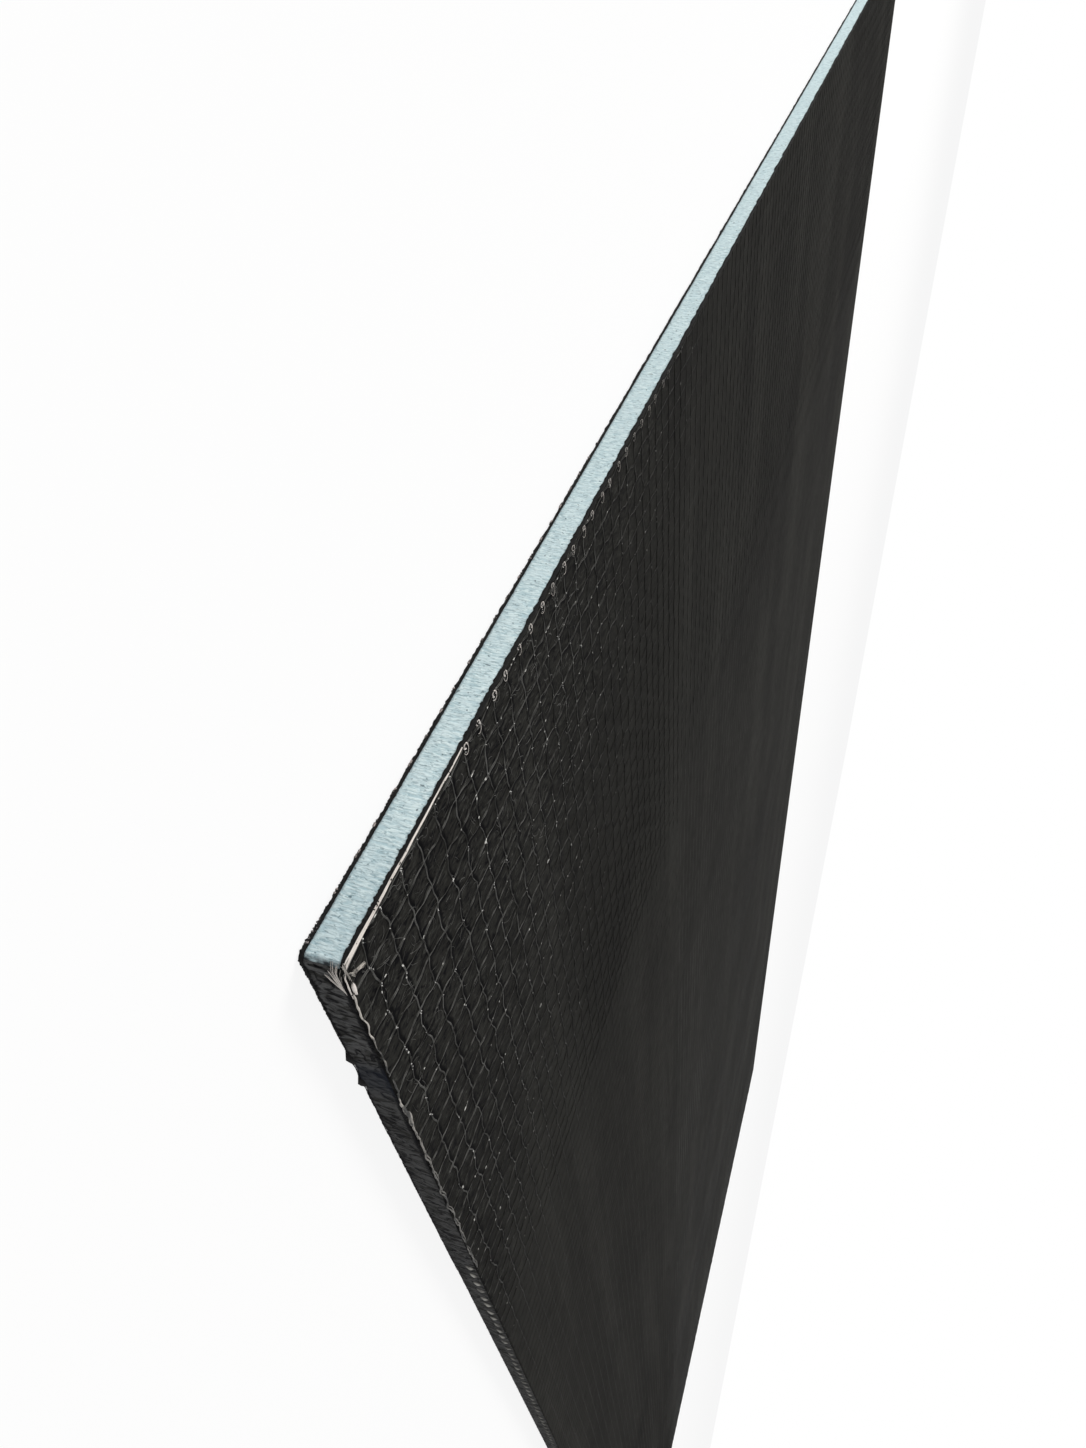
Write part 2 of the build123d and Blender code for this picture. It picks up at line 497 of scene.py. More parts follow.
def skin_height(x_in, y_in):
    """Height of the front skin, from the distances to the sawn end and to the wrapped edge."""
    from_cross = yarn_distance(x_in, y_in, cross_yarn_inset)
    from_long = yarn_distance(y_in, x_in, long_yarn_inset)
    nearest = min(from_cross, from_long)
    fine = 1 / (1 + (max(x_in, y_in) / 70) ** 2)
    fillet = 0.08 * math.exp(-(nearest / 0.40) ** 2)
    cell = 0.05 * uneven(x_in * 0.35, y_in * 0.35, 2)
    ripple = 0.06 * uneven(x_in * 1.25, y_in * 0.45, 4)
    swell = 0.01 * uneven(x_in * 0.02, y_in * 0.02, 0)
    return front_level + fine * (fillet + cell + ripple) + swell


def skin_steps(length):
    """Distances over the skin, close together at its two arrises and near the corner."""
    arris_steps = [0.0, 0.03, 0.10, 0.20]
    flat_steps = graded(length - 2 * arris_radius, 0.25, 0.0135)
    far_steps = [length - step for step in arris_steps[::-1]]
    return arris_steps + [arris_radius + step for step in flat_steps] + far_steps


def arris_drop(distance):
    """How far a worn round arris lies below the flat, at a distance from the edge."""
    short = max(0.0, arris_radius - distance)
    return arris_radius - math.sqrt(max(0.0, arris_radius ** 2 - short ** 2))


x_steps = skin_steps(2 * half_length)
y_steps = skin_steps(2 * outer_y)
skin_points = []
for y_step in y_steps:
    y = y_step - outer_y
    start = sawn_x(y)
    side = min(y_step, 2 * outer_y - y_step)
    for x_step in x_steps:
        x = start - start * x_step / half_length
        depth = edge_relief(x, foam_high) * max(0.0, 1 - side / 2.0)
        end = min(x_step, 2 * half_length - x_step)
        height = skin_height(x + half_length, y + half_width)
        height -= max(arris_drop(side), arris_drop(end))
        skin_points.append((x, y - math.copysign(depth, y), height))
columns = len(x_steps)
rows = len(y_steps)
skin_faces = []
for row in range(rows - 1):
    for i in range(columns - 1):
        low = row * columns + i
        skin_faces.append((low, low + 1, low + columns + 1, low + columns))
rim = list(range(columns)) + [row * columns + columns - 1 for row in range(1, rows)]
rim += [(rows - 1) * columns + i for i in range(columns - 2, -1, -1)]
rim += [row * columns for row in range(rows - 2, 0, -1)]
upper = rim
for level in (foam_high + 0.06, foam_high):
    lower = []
    for index in rim:
        x, y, z = skin_points[index]
        lower.append(len(skin_points))
        skin_points.append((x, y, level))
    for i in range(len(rim)):
        j = (i + 1) % len(rim)
        skin_faces.append((upper[i], lower[i], lower[j], upper[j]))
    upper = lower
skin_faces.append(tuple(upper[::-1]))


def shaded_side(nodes, across, along, inset):
    """Mask of the painted shadow that lies along one side of each yarn."""
    line = nodes.add("ShaderNodeMath", {"operation": "ROUND"}, {0: (across - inset) / mesh_pitch})
    offset = across - inset - mesh_pitch * line - wander(along, line, Socket.cosine)
    return nodes.ramp(offset, 0.05, 0.20) * nodes.ramp(offset, 0.50, 1.25, 1.0, 0.0)


skin_finish, nodes, place, tone, blotch, grit = mortar_material("front_mortar")
from_end = distance_in(nodes, place, "X")
from_edge = distance_in(nodes, place, "Y")
near = nodes.ramp(from_end + from_edge, 35, 235, 1.0, 0.0)
yarn_shadow = shaded_side(nodes, from_edge, from_end, long_yarn_inset)
yarn_shadow = yarn_shadow.at_least(shaded_side(nodes, from_end, from_edge, cross_yarn_inset))
streaks = nodes.grain(place, (900, 340, 900), 4.0, 0.65, 1.6)
smears = nodes.ramp(nodes.grain(place, (300, 160, 300), 3.0, 0.6, 0.5), 0.38, 0.62)
# Trowel streaks. The raised ones are painted lighter, which is a painted satin sheen on real streaks.
streak_sheen = nodes.ramp(streaks, 0.52, 0.64) * (0.35 + 0.65 * smears)
dark = nodes.ramp(streaks, 0.49, 0.39)
tone = nodes.mix(streak_sheen * near * 0.55, tone, (0.058, 0.058, 0.053, 1))
tone = nodes.mix(dark * near * 0.90, tone, (0.0030, 0.0030, 0.0040, 1))
# Painted shadow: a near-black line along one side of each yarn, strongest near the corner.
tone = nodes.mix(yarn_shadow * near * 0.95, tone, (0.002, 0.002, 0.0025, 1))
relief = nodes.bump((streaks + 0.3 * grit) * near, 0.8, 0.25 * mm)
finish_surface(nodes, tone, 0.66 + 0.3 * blotch, 0.012, relief)
front_coat = new_piece("front_coat_skin", skin_points, skin_faces, skin_finish, "mortar")
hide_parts("front_coat")


# Front mesh. Open glass-fibre mesh pressed into the wet mortar, its yarns 5 mm apart each way and
# held at the crossings by pairs of twisted strands. The mortar hides it more away from the corner.
calm_start = 110.0
calm_end = 180.0
yarn_sizes = {"Lines": 30, "First Line": 0, "Points": 240, "Corners": 4, "Across Start": 0.0,
              "Along Start": 0.0, "Length": 1240.0, "Step": 0.8, "Even Steps": 150.0, "Growth": 0.04,
              "Radius": 0.13, "Twist": 0.1, "Side": 1.0, "Level": 5.7, "Lift": 0.1, "Sink": 0.12,
              "Along": (1.0, 0.0, 0.0), "Across": (0.0, 1.0, 0.0),
              "Corner": (-half_length, -half_width, 0.0)}


def shape_tree(name, sizes):
    """A new tree for a shape, with its nodes and its named inputs."""
    tree = bpy.data.node_groups.new(name, "GeometryNodeTree")
    tree.interface.new_socket("Geometry", in_out="INPUT", socket_type="NodeSocketGeometry")
    tree.interface.new_socket("Geometry", in_out="OUTPUT", socket_type="NodeSocketGeometry")
    kinds = {int: "NodeSocketInt", float: "NodeSocketFloat", tuple: "NodeSocketVector"}
    for size_name, value in sizes.items():
        socket = tree.interface.new_socket(size_name, in_out="INPUT", socket_type=kinds[type(value)])
        socket.default_value = value
    tree.interface.new_socket("Finish", in_out="INPUT", socket_type="NodeSocketMaterial")
    nodes = Nodes(tree)
    entry = nodes.add("NodeGroupInput").socket.node
    return tree, nodes, {socket.name: Socket(nodes, socket) for socket in entry.outputs if socket.name}


def close_tree(nodes, size, made):
    """Ends a tree in plain mesh with one finish."""
    plain = nodes.add("GeometryNodeRealizeInstances", {}, {"Geometry": made})
    done = nodes.add("GeometryNodeSetMaterial", {}, {"Geometry": plain, "Material": size["Finish"]})
    nodes.add("NodeGroupOutput", {}, {"Geometry": done})


def tubes_along(nodes, curves, corners, radius):
    """Capped tubes of a radius along curves, with a number of corners."""
    section = nodes.add("GeometryNodeCurvePrimitiveCircle", {}, {"Resolution": corners, "Radius": 1.0})
    return nodes.add("GeometryNodeCurveToMesh", {}, {
        "Curve": curves, "Profile Curve": section, "Scale": radius, "Fill Caps": True})


yarn_tree, nodes, size = shape_tree("mesh_yarns", yarn_sizes)
strand = nodes.add("GeometryNodeCurvePrimitiveLine", {}, {"End": (1.0, 0.0, 0.0)})
strand = nodes.add("GeometryNodeResampleCurve", {}, {"Curve": strand, "Count": size["Points"]})
rows = nodes.add("GeometryNodeMeshLine", {}, {"Count": size["Lines"], "Offset": (0.0, 1.0, 0.0)})
strands = nodes.add("GeometryNodeInstanceOnPoints", {}, {"Points": rows, "Instance": strand})
strands = nodes.add("GeometryNodeRealizeInstances", {}, {"Geometry": strands})

spot = nodes.add("GeometryNodeInputPosition")
step_number = nodes.add("ShaderNodeSeparateXYZ", {}, {0: spot}, "X") * (size["Points"] - 1)
line = nodes.add("ShaderNodeSeparateXYZ", {}, {0: spot}, "Y") + size["First Line"]
even = step_number.at_most(size["Even Steps"])
grown = (step_number - size["Even Steps"]).at_least(0.0)
grown = (2.71828 ** (size["Growth"] * grown) - 1) / size["Growth"]
along = (size["Step"] * (even + grown)).at_most(size["Length"])
calm = nodes.ramp(along, calm_start, calm_end, 1.0, 0.0)
distance = along + size["Along Start"]

turn = distance * (math.pi / mesh_pitch)
twist = size["Twist"] * size["Side"] * calm
shift = wander(distance, line, Socket.cosine) * calm + twist * (turn * 0.5 + line * 1.3).cosine()
across = size["Across Start"] + line * mesh_pitch + shift
crossing = (0.5 + 0.5 * (turn * 2).cosine()) ** 3.0
bulge = nodes.grain(nodes.add("ShaderNodeCombineXYZ", {}, {"X": distance, "Y": line}), (0.6, 3.7, 1))
height = size["Level"] + size["Lift"] * crossing + 0.3 * twist * (turn * 0.5 + line * 1.3 + 1.57).cosine()
height = height + 0.08 * (bulge - 0.5) * calm - size["Sink"] * (1 - calm)

spot = nodes.vector("SCALE", {0: size["Along"], "Scale": distance})
aside = nodes.vector("SCALE", {0: size["Across"], "Scale": across})
raised = nodes.add("ShaderNodeCombineXYZ", {}, {"Z": height})
for part in (aside, raised, size["Corner"]):
    spot = nodes.vector("ADD", {0: spot, 1: part})
spot = nodes.vector("SCALE", {0: spot, "Scale": mm})
moved = nodes.add("GeometryNodeSetPosition", {}, {"Geometry": strands, "Position": spot})
tubes = tubes_along(nodes, moved, size["Corners"], size["Radius"] * (0.75 + 0.5 * bulge) * mm)
joined = nodes.add("GeometryNodeJoinGeometry")
for part in (size["Geometry"], tubes):
    yarn_tree.links.new(part.socket, joined.socket.node.inputs[0])
close_tree(nodes, size, joined)


def grow(name, start_data, tree, batches):
    """A piece of plain mesh that a tree makes from a start, once for each batch of sizes."""
    start = add_object("start", start_data)
    for batch in batches:
        modifier = start.modifiers.new("batch", "NODES")
        modifier.node_group = tree
        for item in tree.interface.items_tree:
            if item.in_out == "INPUT" and item.name in batch:
                modifier[item.identifier] = batch[item.name]
    evaluated = start.evaluated_get(bpy.context.evaluated_depsgraph_get())
    shape = bpy.data.meshes.new_from_object(evaluated)
    bpy.data.objects.remove(start)
    shape.name = name
    shape.shade_smooth()
    piece = add_object(name, shape)
    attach(piece, "root")
    return piece


yarn_finish, nodes, place, tone, blotch, grit = mortar_material("glass_in_mortar")
from_end = distance_in(nodes, place, "X")
from_edge = distance_in(nodes, place, "Y")
near = nodes.ramp(from_end + from_edge, 20, 200, 1.0, 0.0)
worn = nodes.ramp(nodes.grain(place, (420, 420, 420), 3.0, 0.6), 0.38, 0.64)
fleck = nodes.ramp(nodes.grain(place, (900, 900, 900), 1.0), 0.69, 0.75)
tone = nodes.mix((0.15 + 0.85 * worn) * near, tone, (0.110, 0.109, 0.103, 1))
tone = nodes.mix(fleck * near, tone, (0.75, 0.74, 0.70, 1))
finish_surface(nodes, tone, 0.55 - 0.2 * fleck, 0.05)


def strand_batch(lines, length, step, even_steps, growth, sizes):
    """Sizes of a batch of strands, with as many points as carry them to their length."""
    rest = max(0.0, length - step * even_steps)
    points = round(even_steps + math.log(1 + rest * growth / step) / growth) + 1
    return {"Points": points, "Lines": lines, "Length": length, "Step": step, "Growth": growth,
            "Even Steps": float(even_steps), "Finish": yarn_finish, **sizes}


def grow_yarns(name, batches):
    """A piece of the mesh's yarns, which starts from nothing."""
    return grow(name, bpy.data.meshes.new("start"), yarn_tree, batches)


long_lines = 119
cross_lines = 250
fine_lines = 30
long_length = 2 * half_length - 0.8
cross_length = 2 * outer_y - 0.6
long_sizes = {"Along Start": 0.35, "Across Start": long_yarn_inset, "Level": 5.72, "Lift": 0.09}
cross_sizes = {"Along Start": 0.3, "Across Start": cross_yarn_inset, "Level": 5.72, "Lift": -0.03,
               "Along": (0.0, 1.0, 0.0), "Across": (1.0, 0.0, 0.0)}
long_batches = []
cross_batches = []
for side in (-1.0, 1.0):
    long_pair = {**long_sizes, "Side": side, "Twist": 0.07, "Radius": 0.075}
    cross_pair = {**cross_sizes, "Side": side, "Twist": 0.16, "Radius": 0.07}
    long_batches.append(strand_batch(fine_lines, long_length, 0.8, 150, 0.04, long_pair))
    cross_batches.append(strand_batch(fine_lines, cross_length, 0.8, 150, 0.04, cross_pair))
plain_yarn = {"First Line": fine_lines, "Corners": 3, "Twist": 0.0, "Radius": 0.15}
long_rest = {**long_sizes, **plain_yarn, "Level": 5.64}
cross_rest = {**cross_sizes, **plain_yarn, "Level": 5.62}
long_batches.append(strand_batch(long_lines - fine_lines, long_length, 2.0, 50, 0.05, long_rest))
cross_batches.append(strand_batch(cross_lines - fine_lines, cross_length, 3.0, 25, 0.08, cross_rest))
front_long = grow_yarns("front_long_strands", long_batches)
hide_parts("front_long_yarns")
grow_yarns("front_cross_strands", cross_batches)


# Back mesh. The same glass-fibre mesh under the back coat, whose yarns stand a little proud of it.
# Nothing but the table touches it, so its strands are even and its mortar less worn.
back_sizes = {"Corners": 3, "Twist": 0.0, "Radius": 0.12, "Level": 0.27, "Sink": -0.04}
back_long_sizes = {**long_sizes, **back_sizes, "Lift": -0.06}
back_cross_sizes = {**cross_sizes, **back_sizes, "Lift": 0.02, "Along Start": 0.6}
back_long = grow_yarns("back_long_strands", [
    strand_batch(long_lines, long_length, 2.0, 30, 0.05, back_long_sizes)])
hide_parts("back_long_yarns")
grow_yarns("back_cross_strands", [
    strand_batch(cross_lines, 2 * outer_y - 1.2, 3.0, 20, 0.08, back_cross_sizes)])


# Sawn lips. The saw tears the brittle mortar at both coats' cut edges, which leaves a black ragged
# lip on each: crumbling outwards over the back, and with teeth dragged over the foam at the front.
lip_finish, nodes, place, tone, blotch, grit = mortar_material("torn_mortar")
broken = nodes.grain(place, (1500, 1500, 1500), 3.0, 0.7)
tone = nodes.mix(0.6, tone, (0.004, 0.004, 0.005, 1))
finish_surface(nodes, tone, 0.9, 0.15, nodes.bump(broken, 0.8, 0.2 * mm))


def sawn_line(first, growth):
    """Stations (x, y, outward x, outward y) along the wrapped edge, round the corner and the end."""
    stations = []
    for step in graded(edge_run, first, growth)[:0:-1]:
        x = -half_length + corner_radius + step
        stations.append((x, -outer_y + edge_relief(x, foam_low) + 0.03, 0.0, -1.0))
    arc_steps = 26
    for i in range(arc_steps):
        turn = 0.5 * math.pi * i / arc_steps
        x = -half_length + corner_radius * (1 - math.sin(turn))
        y = -half_width + corner_radius * (1 - math.cos(turn))
        place = (max(x, -half_length + sawn_setback), max(y, -outer_y + 0.12))
        stations.append((*place, -math.sin(turn), -math.cos(turn)))
    for step in graded(2 * half_width - 2 * corner_radius, first, growth):
        stations.append((-half_length + sawn_setback, step - half_width + corner_radius, -1.0, 0.0))
    return stations


def ragged_lip(stations, middle, half_height, half_depth, seed):
    """A closed ragged bead along the stations, its section an uneven oval, slighter on the long edge."""
    around = 14
    count = len(stations)
    points = []
    faces = []
    for number, (x, y, out_x, out_y) in enumerate(stations):
        near_end = max(0.0, 1 - abs(half_length - abs(x)) / 25)
        slight = 0.35 + 0.65 * min(1.0, abs(out_x) + near_end)
        taper = slight * min(1.0, 0.25 + number / 8, 0.25 + (count - 1 - number) / 8)
        run = y + (0.0 if out_x == -1.0 else x)
        for i in range(around):
            turn = 2 * math.pi * i / around
            high = math.sin(turn)
            lump = uneven(run * 0.75, high * 0.8, seed)
            tooth = uneven(run * 2.6, high * 1.5, seed + 5)
            chip = uneven(run * 6.5, high * 3.0, seed + 9)
            swell = 1 + 0.50 * lump + 0.75 * tooth + 0.45 * chip
            out = min(0.24, half_depth * math.cos(turn) * swell * taper - 0.02)
            level = middle + half_height * high * swell * taper
            level = max(0.01, min(level, 6.0))
            points.append((x + out_x * out, y + out_y * out, level))
    for number in range(count - 1):
        for i in range(around):
            j = (i + 1) % around
            low = number * around
            faces.append((low + i, low + around + i, low + around + j, low + j))
    faces.append(tuple(range(around)))
    faces.append(tuple((count - 1) * around + i for i in range(around))[::-1])
    return points, faces


edge_run = 110.0
near_stations = sawn_line(0.11, 0.0075)
far_stations = [(-x, y, -out_x, out_y) for x, y, out_x, out_y in sawn_line(1.5, 0.002)]
lip_points = []
lip_faces = []
for seed, middle, half_height, half_depth in ((3, 0.47, 0.24, 0.16), (23, 5.42, 0.33, 0.15)):
    for line in (near_stations, far_stations):
        at_back = middle < foam_low
        stations = line if at_back else [station for station in line if abs(station[2]) > 0.8]
        made_points, made_faces = ragged_lip(stations, middle, half_height, half_depth, seed)
        first_point = len(lip_points)
        lip_points += made_points
        for face in made_faces:
            moved_face = tuple(first_point + i for i in face)
            lip_faces.append(moved_face if line is near_stations else moved_face[::-1])
new_piece("sawn_mortar_lips", lip_points, lip_faces, lip_finish, "mortar")


# Crumbs. Grains of mortar and dusty glass stick to the back coat's lip in a speckled clump at the
# corner, and as a small pinkish lump at the cut ends of 21 of the back mesh's long yarns near it.
crumb_tree, nodes, size = shape_tree("crumbs", {"Smallest": 0.05, "Largest": 0.15, "Seed": 4})
grain_ball = nodes.add("GeometryNodeMeshIcoSphere", {}, {"Radius": mm, "Subdivisions": 1})
spread = nodes.add("FunctionNodeRandomValue", {"data_type": "FLOAT"}, {
    2: size["Smallest"], 3: size["Largest"], "Seed": size["Seed"]}, 1)
turned = nodes.add("FunctionNodeRandomValue", {"data_type": "FLOAT_VECTOR"}, {
    1: (6.28, 6.28, 6.28), "Seed": size["Seed"]}, 0)
crumbs = nodes.add("GeometryNodeMeshToPoints", {}, {"Mesh": size["Geometry"]})
crumbs = nodes.add("GeometryNodeInstanceOnPoints", {}, {
    "Points": crumbs, "Instance": grain_ball, "Rotation": turned, "Scale": spread})
crumbs = nodes.add("GeometryNodeRealizeInstances", {}, {"Geometry": crumbs})
spot = nodes.add("GeometryNodeInputPosition")
dent = nodes.add("ShaderNodeTexNoise", {}, {"Vector": spot, "Scale": 4500.0, "Detail": 1.0}, 1)
dent = nodes.vector("SUBTRACT", {0: dent, 1: (0.5, 0.5, 0.5)})
dent = nodes.vector("SCALE", {0: dent, "Scale": 0.08 * mm})
close_tree(nodes, size, nodes.add("GeometryNodeSetPosition", {}, {"Geometry": crumbs, "Offset": dent}))


def scatter(name, places, smallest, largest, finish, seed):
    """A piece of uneven grains at the places, given in millimetres."""
    sizes = {"Smallest": smallest, "Largest": largest, "Seed": seed, "Finish": finish}
    dots = bpy.data.meshes.new("dots")
    dots.from_pydata([Vector(place) * mm for place in places], [], [])
    grow(name, dots, crumb_tree, [sizes])


crumb_finish, nodes, place, tone, blotch, grit = mortar_material("dusty_crumbs")
dust = nodes.grain(place, (2400, 2400, 2400), 2.0, 0.6)
tone = nodes.mix(nodes.ramp(dust, 0.44, 0.62) * 0.85, tone, (0.30, 0.27, 0.27, 1))
finish_surface(nodes, tone, 0.8, 0.3)

stub_finish, nodes, place, tone, blotch, grit = mortar_material("dusty_yarn_stubs")
dust = nodes.grain(place, (1600, 1600, 1600), 2.0, 0.6)
tone = nodes.mix(nodes.ramp(dust, 0.40, 0.60) * 0.9, tone, (0.44, 0.38, 0.36, 1))
finish_surface(nodes, tone, 0.8, 0.2)


def from_corner(x_in, y_in, *rest):
    """A place so far in from the sawn end and from the wrapped edge, with its other values."""
    return (x_in - half_length, y_in - half_width, *rest)


chance = random.Random(7)
clump_grains = 90
crumb_places = []
for i in range(clump_grains):
    along_y = corner_radius - 0.4 + 3.8 * chance.random() ** 1.3
    crumb_places.append(from_corner(chance.uniform(0.22, 0.36), along_y, chance.uniform(0.22, 0.62)))
scatter("lip_crumbs", crumb_places, 0.06, 0.16, crumb_finish, 4)
stub_yarns = range(1, 22)
stub_places = []
for line in stub_yarns:
    for grain in range(chance.choice((5, 8, 10))):
        along_y = long_yarn_inset + mesh_pitch * line + chance.gauss(0, 0.42)
        x_in = chance.uniform(0.275, 0.31)
        stub_places.append(from_corner(x_in, along_y, chance.uniform(0.275, 0.36)))
scatter("back_yarn_stubs", stub_places, 0.18, 0.245, stub_finish, 5)


# Bared yarn. A cream bundle of glass filaments that the saw freed from the front mesh. It lies on
# the coat's arris from the corner, tapers over 33 mm, and its filaments part at the corner.
fibre_tree, nodes, size = shape_tree("fibres", {"Corners": 5})
thickness = nodes.add("GeometryNodeInputRadius")
close_tree(nodes, size, tubes_along(nodes, size["Geometry"], size["Corners"], thickness))


def fibres(name, paths, corners, finish):
    """A piece of round fibres along paths of (x, y, z, radius) in millimetres."""
    curve = bpy.data.curves.new("paths", "CURVE")
    curve.dimensions = "3D"
    for path in paths:
        spline = curve.splines.new("POLY")
        spline.points.add(len(path) - 1)
        for point, (x, y, z, radius) in zip(spline.points, path):
            point.co = (x * mm, y * mm, z * mm, 1)
            point.radius = radius * mm
    return grow(name, curve, fibre_tree, [{"Corners": corners, "Finish": finish}])


fibre_finish, nodes = new_material("bare_glass_fibre")
place = nodes.add("ShaderNodeTexCoord", output="Object")
strands = nodes.grain(place, (5000, 300, 3000), 2.0)
stain = nodes.ramp(nodes.grain(place, (350, 250, 350), 3.0), 0.42, 0.72)
tone = nodes.mix(strands, (0.52, 0.47, 0.43, 1), (0.80, 0.75, 0.70, 1))
tone = nodes.mix(stain * 0.45, tone, (0.24, 0.22, 0.20, 1))
finish_surface(nodes, tone, 0.5 + 0.2 * stain, 0.5)

bared_length = 33.0
bared_filaments = 16
bared_paths = []
for number in range(bared_filaments):
    lane = number / (bared_filaments - 1)
    seed_place = number * 3.3
    path = []
    stop = bared_length * (1.0 - 0.35 * abs(chance.gauss(0, 0.5)) if number % 3 else 1.0)
    steps = 60
    for i in range(steps + 1):
        run = stop * i / steps
        spread = 0.60 - 0.48 * min(1.0, run / bared_length) + 0.40 * math.exp(-run / 3.0)
        y = 1.0 + run
        x = sawn_x(y - half_width) - 0.10 + spread * lane
        x += 0.05 * uneven(run * 0.35, seed_place, 0)
        x += 0.16 * uneven(run * 0.22, 6.0, 3) * min(1.0, run / 6)
        z = 5.77 + 0.07 * math.sin(lane * math.pi) + 0.04 * uneven(run * 0.5, seed_place, 8)
        path.append((x, y - half_width, z, 0.045 if i else 0.03))
    bared_paths.append(path)
bared = fibres("bared_glass_yarn", bared_paths, 5, fibre_finish)
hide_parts("bared_end_yarn")


# Loose filaments. Single glass filaments that the trowel pulled out of the front mesh lie in the
# mortar beside the yarns, mostly along the board's width, and curl near the sawn end.
hair_finish, nodes, place, tone, blotch, grit = mortar_material("smeared_filament")
bare = nodes.ramp(nodes.grain(place, (800, 800, 800), 2.0), 0.36, 0.66)
tone = nodes.mix(bare, tone, (0.095, 0.094, 0.089, 1))
finish_surface(nodes, tone, 0.45, 0.1)

loose_count = 480
hair_paths = []
for number in range(loose_count):
    x_in = 1.0 + 45.0 * chance.random() ** 1.7
    y_in = 1.2 + 80.0 * chance.random() ** 1.2
    heading = chance.gauss(0.5 * math.pi, 0.32) if chance.random() < 0.7 else chance.gauss(0.0, 0.4)
    bow = chance.gauss(0, 0.10) + (chance.gauss(0, 0.5) if x_in < 6 else 0.0)
    reach = chance.uniform(1.2, 3.6)
    thick = chance.uniform(0.018, 0.038) * (1 + y_in / 90)
    path = []
    steps = 8
    for i in range(steps + 1):
        if x_in < 0.5 or y_in < 0.8:
            break
        rise = 0.03 * math.sin(math.pi * i / steps)
        path.append(from_corner(x_in, y_in, skin_height(x_in, y_in) + rise, thick))
        x_in += reach / steps * math.cos(heading)
        y_in += reach / steps * math.sin(heading)
        heading += bow + 0.12 * chance.gauss(0, 1)
    if len(path) > 3:
        hair_paths.append(path)
fibres("loose_filaments", hair_paths, 4, hair_finish)


# Glass beads. Where strands broke at the crossings and at the sawn end, small bright knots of bare
# glass stand out of the mortar.
bead_finish, nodes = new_material("bare_glass_knots")
place = nodes.add("ShaderNodeTexCoord", output="Object")
frost = nodes.grain(place, (3000, 3000, 3000), 2.0)
tone = nodes.mix(frost, (0.42, 0.41, 0.39, 1), (0.90, 0.89, 0.86, 1))
finish_surface(nodes, tone, 0.35, 0.6)

broken_crossings = 120
bead_places = []
for number in range(broken_crossings):
    row = int(16 * chance.random() ** 1.5)
    column = int(10 * chance.random() ** 1.6)
    y_line = long_yarn_inset + mesh_pitch * row
    x_line = cross_yarn_inset + mesh_pitch * column
    for knot in range(chance.choice((1, 1, 1, 2, 3))):
        x_in = x_line + chance.gauss(0, 0.25) + 0.35 * knot
        y_in = y_line + wander(x_in, row, math.cos) + chance.gauss(0, 0.12)
        bead_places.append(from_corner(x_in, y_in, skin_height(x_in, y_in) + 0.12))
scatter("glass_knots", bead_places, 0.035, 0.10, bead_finish, 9)


# Yarn ends. The long yarns of the front mesh are cut at the sawn end, and 22 of them have strands
# that spring back into two small bright rings, one inside the other, flat on the coat behind its lip.
outer_ring = (1.05, 0.62, -60, 170, 0.040)
inner_ring = (0.48, 0.42, 40, 300, 0.085)
curled_yarns = range(6, 28)
curl_paths = []
for line in curled_yarns:
    y_in = long_yarn_inset + mesh_pitch * line + wander(0.0, line, math.cos)
    for reach_x, reach_y, start_turn, sweep, thick in (outer_ring, inner_ring):
        reach_x *= chance.uniform(0.7, 1.1)
        reach_y *= chance.uniform(0.8, 1.15)
        start_turn += chance.uniform(-25, 25)
        middle_x = 0.42 + reach_x
        path = []
        for i in range(17):
            turn = math.radians(start_turn + chance.uniform(-4, 4) + sweep * i / 16)
            path.append(from_corner(
                middle_x + reach_x * math.cos(turn), y_in + reach_y * math.sin(turn),
                5.80 + 0.05 * math.sin(turn), thick * (1 - (line - curled_yarns[0]) / 26)))
        curl_paths.append(path)
fibres("yarn_end_curls", curl_paths, 5, fibre_finish)


# Arris line. Along the front arris of the wrapped edge the mesh's outermost yarn was folded over and
# the mortar scraped off it, so it shows as a thin broken grey-cream line that wanders.
worn_finish, nodes, place, tone, blotch, grit = mortar_material("scraped_yarn")
from_end = distance_in(nodes, place, "X")
scraped = nodes.ramp(nodes.grain(place, (260, 900, 900), 3.0, 0.6), 0.36, 0.54)
pale = nodes.mix(nodes.ramp(from_end, 18, 62), (0.46, 0.43, 0.39, 1), (0.115, 0.11, 0.10, 1))
tone = nodes.mix(scraped, tone, pale)
finish_surface(nodes, tone, 0.6, 0.3)

arris_paths = []


def arris_strand(start, stop, aside, swell, twist):
    """One strand along the arris, which bends at the crossings and swells where it is lumped."""
    steps = round((stop - start) * 3)
    path = []
    for i in range(steps + 1):
        run = start + (stop - start) * i / steps
        sway = 0.40 * uneven(run * 0.16, 3.0, 0) + 0.26 * uneven(run * 0.5, 5.0, 4)
        sway += aside + twist * math.cos(run * 0.9 + aside * 9)
        lump = uneven(run * 0.9, start + aside, 7)
        thick = swell * (1 + 0.9 * lump + 1.3 * math.exp(-((run - 38.5) / 3.2) ** 2))
        thick = max(0.03, thick) * min(1.0, 0.25 + i / 4, 0.25 + (steps - i) / 4)
        path.append((run - half_length, max(-half_width + thick, -outer_y + 0.26 + sway),
                     min(5.95 - thick, 5.70 - 0.5 * max(0.0, -sway)), thick))
    arris_paths.append(path)


